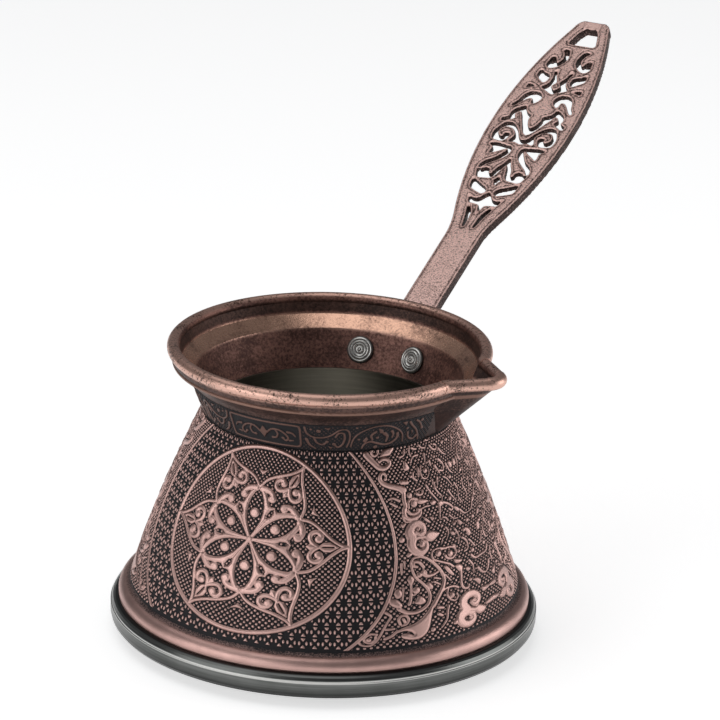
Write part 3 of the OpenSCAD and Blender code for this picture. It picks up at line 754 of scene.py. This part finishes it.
# the lip darkens over its last rows, where it meets the ground
relief = np.concatenate([np.ones((len(lower), body_sheet.cols)), shine])
relief[len(lower) - 4:len(lower)] = np.array([0.68, 0.5, 0.4, 0.34])[:, None]
sectors = []
per_sector = body_sheet.cols // SECTORS
for k in range(SECTORS):
    cols = np.arange(k * per_sector, (k + 1) * per_sector + 1)
    angles = cols * body_sheet.dx / STEP * np.pi / 180
    part = cols % body_sheet.cols
    sectors.append(tube(f"body_emboss_{k}", revolve(profile, full[:, part], angles),
                        relief[:, part]))
print("body sectors:", len(sectors), "faces each:", len(sectors[0].data.polygons))

# %% [markdown]
# ## The neck band
# A narrow band of vine runs round the collar's foot, broken by the spout, by the handle's foot
# and, in front, by a small framed cartouche. The real frame holds a name; here it holds a plain
# leaf scroll. The band is a second sheet, wrapped a hair above the collar.

# %% Draw the neck band
BAND_TALL, BAND_R, BAND_SLOPE = 8.75, 33.2, 0.389
BAND = 2 * np.pi * 34.8
BSTEP = BAND / 360
band_sheet = Sheet(BAND, BAND_TALL, 1800, 73)
# the same lists as before: degrees from the middle of the front, mm up, half widths, end ball
band_vines = [
    ([(38.4, 1.7), (39.2, 4.2), (41.6, 6.2), (45.6, 7.6), (50, 8.1), (54.6, 7.6), (59, 6),
      (61.8, 4), (62.8, 1.6)], 0.26, 0.26, 0),
    ([(18.6, 8), (19.4, 6), (22.4, 4.8), (26.4, 4.8), (29.8, 5.6), (32.8, 7.2), (35.4, 7.6),
      (37.2, 6.4), (37.6, 3.8), (36.6, 1.6)], 0.3, 0.26, 0),
    ([(31.6, 5), (32.8, 6.3), (34.8, 6.2), (35.4, 4.4), (34.6, 2.4), (32.6, 1.6), (31, 2.6)], 0.3,
     0.34, 0.5),
    ([(22.4, 4.6), (23.6, 3), (26.4, 2.4), (28, 3.4)], 0.3, 0.3, 0.45),
    ([(19.2, 4), (20.4, 2.2), (23, 1)], 0.45, 0.25, 0),
    ([(43.4, 1), (44.4, 2.4), (46.8, 3), (50.2, 2.2), (54, 1.5), (57.4, 2), (59.4, 3.4),
      (59, 4.8)], 0.3, 0.42, 0),
    ([(52.6, 5.4), (54.4, 4.2), (54.2, 2.6)], 0.5, 0.3, 0),
    ([(56, 5.8), (57, 4.8), (56.8, 3.6)], 0.4, 0.25, 0),
    ([(47.6, 3.6), (46.8, 5), (48.6, 6.2)], 0.3, 0.4, 0),
    ([(64.2, 7.8), (66, 6.4), (68.8, 4.6), (71, 2.4), (71.8, 1)], 0.35, 0.28, 0),
    ([(64.4, 4.4), (65.4, 2.6), (68, 1.6), (69.8, 2.4)], 0.3, 0.3, 0.45),
    ([(67.6, 7.9), (69.8, 6.8), (72, 4.8)], 0.3, 0.3, 0.5),
]
band_drops = [[(43.2, 3.4), (44.8, 4.8), (45.8, 3.8), (44.4, 2.6)],
              [(49.6, 7.3), (51.8, 6.6), (52.2, 5.4), (50.4, 5.6)],
              [(26.6, 8.1), (29.4, 8.2), (28.6, 7.2)], [(63, 8.2), (60.2, 8.2), (62.4, 6.8)],
              [(66, 5), (67.4, 4.4), (67, 3.2)], [(28.4, 2), (30.6, 1.6), (29.6, 0.6)]]
band_balls = [(24.4, 6.9, 0.6), (49.6, 1, 0.6), (49.8, 4.2, 0.45), (41.6, 4, 0.4),
              (63.6, 5.8, 0.4), (21.2, 7.4, 0.35), (40.2, 8, 0.35), (70.6, 7.6, 0.5)]
for centre in (-90, 90):
    for side in (-1, 1):
        def put(points):
            p = np.array(points, float)
            return np.stack([(centre + side * p[:, 0]) * BSTEP, p[:, 1]], -1)

        for points, w0, w1, ball in band_vines:
            band_sheet.line(put(points), w0, w1, ball)
        for points in band_drops:
            band_sheet.patch(put(points))
        for x, u, radius in band_balls:
            band_sheet.disc(put([(x, u)])[0], radius)
        # the cartouche and its leaf scroll
        band_sheet.line(put([(0, 8.1), (14.5, 8.1), (16.2, 7.7), (16.6, 6.8)]), 0.3)
        band_sheet.line(put([(16.6, 6.8), (16.6, 2.4), (16.2, 1.5), (14.5, 1.1), (0, 1.1)]), 0.3)
        band_sheet.line(put([(1.8, 4.6), (4, 5.9), (7.4, 6), (10, 4.9), (11.2, 3.5), (10, 2.7),
                             (8.8, 3.5)]), 0.3, 0.3, 0.42)
        band_sheet.line(put([(5.6, 5.9), (6.6, 4.6), (5.8, 3.4), (4.2, 3.2)]), 0.25, 0.3, 0.42)
        band_sheet.line(put([(11.2, 5.6), (13.2, 5.4), (14.4, 4.4)]), 0.4, 0.2)
        band_sheet.line(put([(11.8, 2.8), (13.4, 3)]), 0.3, 0.2)
    band_sheet.patch(put([(-2, 4.6), (0, 6.6), (2, 4.6), (0, 2.6)]))
x, u = band_sheet.grid()
dots = np.cos(2 * np.pi * x / (BAND / 190)) * np.cos(2 * np.pi * u / 1.25)
from_front = np.abs((x / BSTEP + 180) % 180 - 90)
plain = ramp(-from_front, -16.6, -16.2) * ramp(u, 1.1, 1.3) * ramp(-u, -8.1, -7.9)
ground = ramp(dots, 0.05, 0.6) * (1 - plain) * ramp(band_sheet.far, 0.1, 0.38)
band_lift = np.maximum(ramp(-band_sheet.far, -0.15, 0.14), 0.6 * ground)
band_lift = band_lift * ramp(u, 0.05, 0.4) * ramp(-u, -BAND_TALL, -BAND_TALL + 0.3)
print("band drawn, share of sheet raised:", float((band_sheet.far < 0).mean()))

# %% [markdown]
# The band is a thin closed strip on the collar. It comes in two lengths, which meet opposite the
# spout and sink into the collar beside it. The handle's foot lies over one of them.

# %% Wrap the neck band
BAND_DEEP = 0.5
rise = np.arange(band_sheet.rows) * band_sheet.du / np.hypot(1, BAND_SLOPE)
outer = np.stack([NECK_Z + rise, BAND_R + BAND_SLOPE * rise], -1)
back = outer[::-1][::12] - [0, BAND_DEEP]
profile_band = np.vstack([back, outer])
angle = (np.arange(band_sheet.cols) * band_sheet.dx / BSTEP + 180) % 360 - 180
clear = ramp(np.abs(angle), 11.4, 12.4)
raised = (band_lift * 0.34 + 0.05) * clear - 0.45 * (1 - clear)
full = np.concatenate([np.zeros((len(back), band_sheet.cols)), raised])
relief = np.concatenate([np.zeros((len(back), band_sheet.cols)), band_lift * clear])
bands = []
for k, (start, end) in enumerate([(56, 901), (900, 1745)]):
    cols = np.arange(start, end)
    angles = cols * band_sheet.dx / BSTEP * np.pi / 180
    bands.append(tube(f"neck_band_{k}", revolve(profile_band, full[:, cols], angles),
                      relief[:, cols]))
print("neck bands:", len(bands), "faces each:", len(bands[0].data.polygons))

# %% [markdown]
# ## The cast handle
# The handle looks cast: its edges are soft and its skin is grainy, and a thin line is cut
# just inside every opening. A copy of the solid is remeshed into small even faces. Then each point
# of the top face moves by a height that depends only on how far it is from the nearest edge.

# %% Remesh the handle
handle = nodes["handle"].copy()
handle.data = nodes["handle"].data.copy()
handle.name = handle.data.name = "handle_cast"
bpy.context.collection.objects.link(handle)
mesh = bmesh.new()
mesh.from_mesh(handle.data)
bmesh.ops.remove_doubles(mesh, verts=mesh.verts, dist=1e-6)
mesh.to_mesh(handle.data)
mesh.free()
SLANT = np.radians(27.6)
TOP_Z = 50.26


def above_plane(co):
    """How far a point lies above the handle's top face, in mm: its height over the slanted plane
    that meets the pot's axis at TOP_Z, measured square to that plane."""
    return (co[:, 2] - TOP_Z - co[:, 1] * np.tan(SLANT)) * np.cos(SLANT)


def coordinates(data):
    """All the points of a mesh as one array, in mm."""
    co = np.empty(len(data.vertices) * 3, np.float32)
    data.vertices.foreach_get("co", co)
    return co.reshape(-1, 3) / MM


co = coordinates(handle.data)
handle.data.calc_loop_triangles()
triangles = np.empty(len(handle.data.loop_triangles) * 3, np.int32)
handle.data.loop_triangles.foreach_get("vertices", triangles)
triangles = triangles.reshape(-1, 3)
on_top = (np.abs(above_plane(co)) < 0.02)[triangles].all(1)
pairs = np.sort(triangles[on_top][:, [0, 1, 1, 2, 2, 0]].reshape(-1, 2), 1)
edges, times = np.unique(pairs, axis=0, return_counts=True)
edges = edges[times == 1]
print("edges of the top face:", len(edges))

modifier = handle.modifiers.new("even_faces", "REMESH")
modifier.mode, modifier.voxel_size, modifier.use_smooth_shade = "VOXEL", 0.32 * MM, True
graph = bpy.context.evaluated_depsgraph_get()
fine = bpy.data.meshes.new_from_object(handle.evaluated_get(graph))
handle.modifiers.clear()
handle.data = fine
print("handle faces:", len(fine.polygons))

# %% [markdown]
# The same kind of sheet is laid on the handle's top face, and here it holds the distance to the
# nearest edge. Close to an edge the face sinks in a soft round, and a little further in it sinks
# again in a narrow line, which gives each stroke of the pattern its double rim.

# %% Cut the line and soften the edges
WIDE, LENGTH = 80, 175.0
plan = Sheet(WIDE, LENGTH, 400, 876)
flat = np.stack([co[:, 0] + WIDE / 2, co[:, 1] / np.cos(SLANT)], -1)
for a, b in edges:
    plan.line([flat[a], flat[b]], 0.0)
points = coordinates(fine)
px, pu = points[:, 0] + WIDE / 2, points[:, 1] / np.cos(SLANT)
ci = np.clip((px / plan.dx).astype(int), 0, plan.cols - 2)
ri = np.clip((pu / plan.du).astype(int), 0, plan.rows - 2)
fx, fu = px / plan.dx - ci, pu / plan.du - ri
far = plan.far
near = ((far[ri, ci] * (1 - fx) + far[ri, ci + 1] * fx) * (1 - fu)
        + (far[ri + 1, ci] * (1 - fx) + far[ri + 1, ci + 1] * fx) * fu)
top = ramp(above_plane(points), -0.35, -0.05) * (pu > 20)
groove = ramp(near, 0.42, 0.62) * ramp(-near, -0.98, -0.78)
soft = ramp(-near, -0.42, 0.1)
sink = top * (0.20 * groove + 0.32 * soft)
points[:, 1] += sink * np.sin(SLANT)
points[:, 2] -= sink * np.cos(SLANT)
fine.vertices.foreach_set("co", (points * MM).reshape(-1).astype(np.float32))
worn = fine.attributes.new("relief", "FLOAT", "POINT")
# painted highlight: the relief, and with it the copper's brightness, is raised along the rounded
# edge of every stroke
painted_edge_highlight = ramp(-near, -0.42, -0.25) * top
worn.data.foreach_set("value", (0.80 - 0.6 * groove * top + 0.45 * painted_edge_highlight).astype(np.float32))
fine.update()
print("deepest cut in the handle, mm:", round(float(sink.max()), 3))

# %% [markdown]
# ## Finishes
# The copper is plated, darkened all over and then rubbed back, so what stands up is bright and
# pink and what lies low stays nearly black. The relief attribute gives the height, noise breaks
# it up, and both drive colour and roughness together.

# %% Antiqued copper


def antique(name, bright, dark, low, high):
    """Dark where the relief is low, bright where it is high, with soft clouds and fine specks."""
    f = Finish(name)
    relief = f.kept_number("relief")
    clouds = f.noise(90, 3)
    specks = f.noise(2600, 2, 0.7)
    rubbed = (relief + (clouds - 0.5) * 0.5 + (specks - 0.5) * 0.9).step(low, high)
    tone = f.mix(clouds.step(0.3, 0.7), bright, tuple(0.8 * c for c in bright[:3]) + (1,))
    colour = f.mix(rubbed, dark, tone)
    rough = 0.62 - rubbed * 0.20 + (clouds - 0.5) * 0.1
    f.finish(Base_Color=colour, Roughness=rough, Metallic=rubbed * 0.45 + 0.55,
             Normal=f.bump(specks, 0.00012, 0.5))
    return f.material


copper_bright, copper_dark = rgb(0.60, 0.385, 0.345), rgb(0.012, 0.0108, 0.0128)
body_copper = antique("body_copper", copper_bright, copper_dark, 0.22, 0.85)
band_copper = antique("band_copper", rgb(0.15, 0.088, 0.074), copper_dark, 0.25, 0.95)
for piece in sectors:
    piece.data.materials.append(body_copper)
    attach(piece, "root")
    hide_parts("body_shell")
for piece in bands:
    piece.data.materials.append(band_copper)
    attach(piece, "root")
print("antiqued pieces:", len(sectors) + len(bands))

# %% [markdown]
# The handle is pinker and its skin is speckled, because cast metal is never quite smooth. Its
# finish asks which way the surface faces: the walls of the openings were never rubbed, so they
# stay nearly black.

# %% Copper of the handle


def cast_copper(name, bright, dark):
    """Speckled plating; the walls that face sideways stay nearly black."""
    f = Finish(name)
    lean = f.node("ShaderNodeVectorMath", {"operation": "DOT_PRODUCT"},
                  f.node("ShaderNodeNewGeometry", out=1),
                  (0, -float(np.sin(SLANT)), float(np.cos(SLANT))), out=1)
    facing = lean.math("ABSOLUTE").step(0.45, 0.85)
    specks = f.noise(2300, 3, 0.7)
    clouds = f.noise(160, 3)
    # the relief read here carries the painted highlight along the edges of the strokes
    rubbed = f.kept_number("relief") * facing + (specks - 0.5) * 2.6 + (clouds - 0.5) * 0.6
    rubbed = rubbed.step(0.05, 1.05)
    f.finish(Base_Color=f.mix(rubbed, dark, bright), Roughness=0.58 - rubbed * 0.22,
             Metallic=rubbed * 0.1 + 0.85, Normal=f.bump(specks, 0.0002, 0.8))
    return f.material


handle_copper = cast_copper("handle_copper", rgb(0.96, 0.65, 0.58), rgb(0.03, 0.016, 0.014))
handle.data.materials.clear()
handle.data.materials.append(handle_copper)
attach(handle, "root")
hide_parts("handle")


def dress(node, material):
    """Gives a solid part its finish."""
    nodes[node].data.materials.clear()
    nodes[node].data.materials.append(material)


print("handle finish:", handle_copper.name)

# %% [markdown]
# The collar has no relief, so its finish goes by height and by side. The rolled rim is rubbed
# bright;
# the ledge inside it is rubbed and also painted lighter and more golden, a painted highlight. The
# wall between them is dark, and so is the outside.

# %% Copper of the collar


def collar_finish():
    """Bright on the rolled rim and on the ledge inside it, whose lighter, more golden colour is a
    painted highlight; dark brown below and outside.
    """
    f = Finish("collar_copper")
    x, y, z, r = f.xyz()
    normal = f.node("ShaderNodeNewGeometry", out=1)
    axis = f.node("ShaderNodeCombineXYZ", None, x / r, y / r, 0.0)
    facing = f.node("ShaderNodeVectorMath", {"operation": "DOT_PRODUCT"}, normal, axis, out=1)
    inside = (facing * -1).step(0.15, 0.5)
    clouds = f.noise(110, 4)
    specks = f.noise(1400, 3, 0.75)
    streaks = f.noise(60, 4, 0.6, stretch=(1, 1, 6))
    mottle = (clouds * 0.6 + streaks * 0.4 + (specks - 0.5) * 1.1).step(0.3, 0.75)
    interior = f.mix(mottle, rgb(0.08, 0.036, 0.029), rgb(0.33, 0.168, 0.132))
    wall = z.step(0.0757, 0.0764) * (1 - z.step(0.0786, 0.0796))
    interior = f.mix(wall, interior, f.mix(mottle, rgb(0.03, 0.016, 0.013), rgb(0.13, 0.07, 0.055)))
    outside = f.mix(mottle, rgb(0.025, 0.014, 0.012), rgb(0.12, 0.066, 0.054))
    seam = z.step(0.0744, 0.0748) * (1 - z.step(0.0756, 0.0760))
    outside = f.mix(seam * 0.7, outside, rgb(0.30, 0.17, 0.13))
    outside = f.mix(z.step(0.0698, 0.0706), f.mix(mottle, rgb(0.02, 0.011, 0.010),
                                                  rgb(0.055, 0.026, 0.021)), outside)
    base = f.mix(inside, outside, interior)
    ledge = z.step(0.0716, 0.0728) * (1 - z.step(0.0752, 0.0760)) * inside
    edge_on = (1 - inside) * z.step(0.0768, 0.0778)
    lit_top = z.step(0.0798, 0.0804)
    rim = edge_on.math("MAXIMUM", lit_top) * (specks + (clouds - 0.5) * 0.5).step(0.33, 0.52)
    bright = rim.math("MAXIMUM", ledge * ((specks - 0.5) * 0.8 + clouds).step(0.1, 0.7))
    rough = 0.5 - bright * 0.13 - ledge * 0.13 + (clouds - 0.5) * 0.12
    # the rim keeps rubbed copper; the ledge's lighter, more golden copper is a painted highlight
    rubbed_rim_and_lit_ledge = f.mix(ledge, rgb(0.68, 0.42, 0.34), rgb(0.84, 0.50, 0.36))
    f.finish(Base_Color=f.mix(bright, base, rubbed_rim_and_lit_ledge), Roughness=rough,
             Metallic=bright * 0.3 + 0.65, Normal=f.bump(specks, 0.0001, 0.5))
    return f.material


dress("collar", collar_finish())
print("collar finish:", nodes["collar"].data.materials[0].name)

# %% [markdown]
# ## Plain metals
# The base pan and the liner are stainless steel, turned on a lathe, so their fine lines run round
# the axis: the noise is squeezed upwards. The rivets' heads carry rings about their own axes.

# %% Steel, aluminium and rivets


def turned_metal(name, light, shade, rough, squeeze, foot=False):
    """Fine lines round the axis; foot paints shade on the roll under the pan, darker towards the
    bottom, paints a thin highlight line round its side, and makes its top edge under the copper lip
    nearly black.
    """
    f = Finish(name)
    lines = f.noise(40, 3, 0.5, stretch=(1, 1, squeeze))
    clouds = f.noise(70, 3)
    blend = (lines * 0.6 + clouds * 0.4).step(0.3, 0.7)
    colour = f.mix(blend, shade, light)
    if foot:
        z = f.xyz()[2]
        # painted shade: the steel goes nearly black towards the bottom of the roll under the pan
        colour = f.mix(z.step(0.0024, 0.0072), rgb(0.010, 0.010, 0.010), colour)
        # painted highlight: a thin bright line round the pan's side, from 7.0 to 7.9 mm up
        colour = f.mix(z.step(0.0070, 0.0073) * (1 - z.step(0.0076, 0.0079)), colour,
                       rgb(0.55, 0.55, 0.53))
        colour = f.mix(z.step(0.0088, 0.0091), colour, rgb(0.03, 0.03, 0.03))
    f.finish(Base_Color=colour, Metallic=1.0,
             Roughness=rough + (lines - 0.5) * 0.15, Normal=f.bump(lines, 0.00004, 0.4))
    return f.material


dress("base_pan", turned_metal("base_steel", rgb(0.17, 0.175, 0.17), rgb(0.10, 0.105, 0.10),
                               0.3, 60, foot=True))
dress("liner", turned_metal("liner_steel", rgb(0.50, 0.48, 0.43), rgb(0.36, 0.345, 0.305),
                            0.36, 30))
dress("heat_disc", turned_metal("disc_aluminium", rgb(0.72, 0.73, 0.74), rgb(0.6, 0.61, 0.62),
                                0.42, 20))


RING_STEP = 0.00078


def rivet_finish(name, side):
    """Turned rings about the rivet's own axis, from the distance between a point and that axis."""
    f = Finish(name)
    turn, tip = np.radians(side * 13.9), np.radians(21.257)
    radial = np.array([np.sin(turn), np.cos(turn), 0])
    axis = radial * np.cos(tip) - np.array([0, 0, np.sin(tip)])
    centre = radial * 0.033745 + np.array([0, 0, 0.0673])
    offset = f.node("ShaderNodeVectorMath", {"operation": "SUBTRACT"}, f.place(), tuple(centre))
    cross = f.node("ShaderNodeVectorMath", {"operation": "CROSS_PRODUCT"}, offset, tuple(axis))
    away = f.node("ShaderNodeVectorMath", {"operation": "LENGTH"}, cross, out=1)
    rings = (away * (2 * np.pi / RING_STEP)).math("COSINE") * 0.5 + 0.5
    specks = f.noise(1800, 3, 0.7)
    worn = (rings * 0.75 + specks * 0.5).step(0.15, 0.85) * (1 - away.step(0.0033, 0.0037))
    f.finish(Base_Color=f.mix(worn, rgb(0.09, 0.086, 0.082), rgb(0.74, 0.73, 0.70)),
             Roughness=0.48 - worn * 0.14, Metallic=0.85, Normal=f.bump(rings, 0.00012, 0.8))
    return f.material


dress("rivet_left", rivet_finish("rivet_alloy_left", -1))
dress("rivet_right", rivet_finish("rivet_alloy_right", 1))
print("finishes:", sorted(m.name for m in bpy.data.materials))

# %% [markdown]
